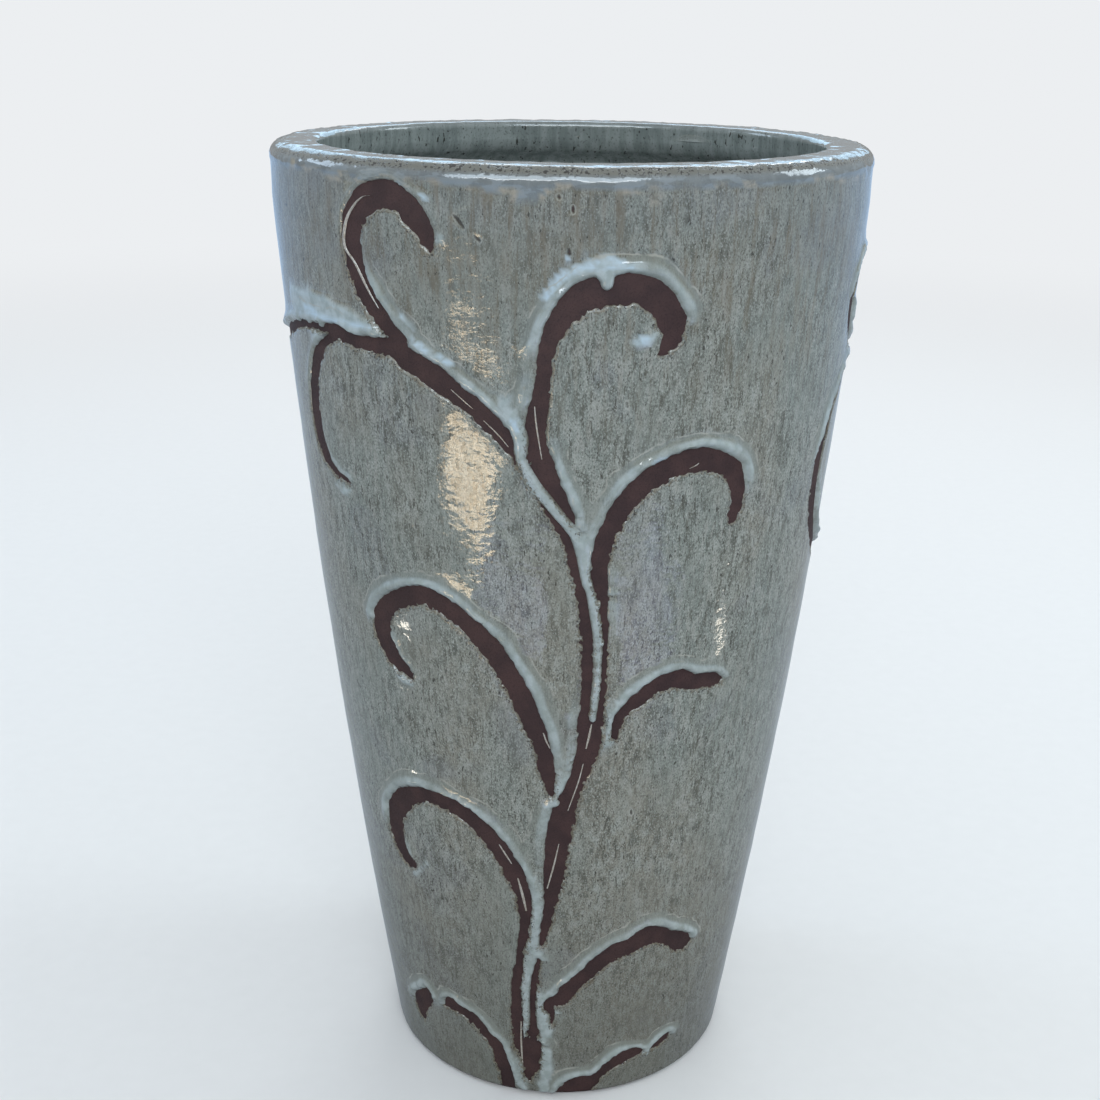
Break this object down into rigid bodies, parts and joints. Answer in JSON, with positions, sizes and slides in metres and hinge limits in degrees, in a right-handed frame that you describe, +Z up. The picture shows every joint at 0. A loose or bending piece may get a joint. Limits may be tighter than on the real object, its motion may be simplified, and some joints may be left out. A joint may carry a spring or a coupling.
{
  "type": "tall glazed planter",
  "caption": "Tall tapered stoneware planter with a rolled rim, a drain hole, and vines wiped through its streaky green-grey outer glaze to the bare clay.",
  "frame": {"origin": "centre of the foot, on the ground", "axes": "+Z up along the pot's axis; -Y is the front, the side with the first vine"},
  "size_m": [0.4166, 0.4166, 0.7],
  "materials": {
    "fired_clay": "bare dark brown stoneware, matt and slightly gritty",
    "outer_glaze": "glossy streaky green-grey glaze with iron specks, pooling to pale blue-white beads along the vines",
    "inner_glaze": "the same glaze, thinner and darker, with specks"
  },
  "bodies": {
    "root": {"base_slab": "fired_clay", "clay_wall": "fired_clay", "rim_coil": "fired_clay", "outer_glaze": "outer_glaze", "inner_glaze": "inner_glaze"}
  },
  "joints": []
}
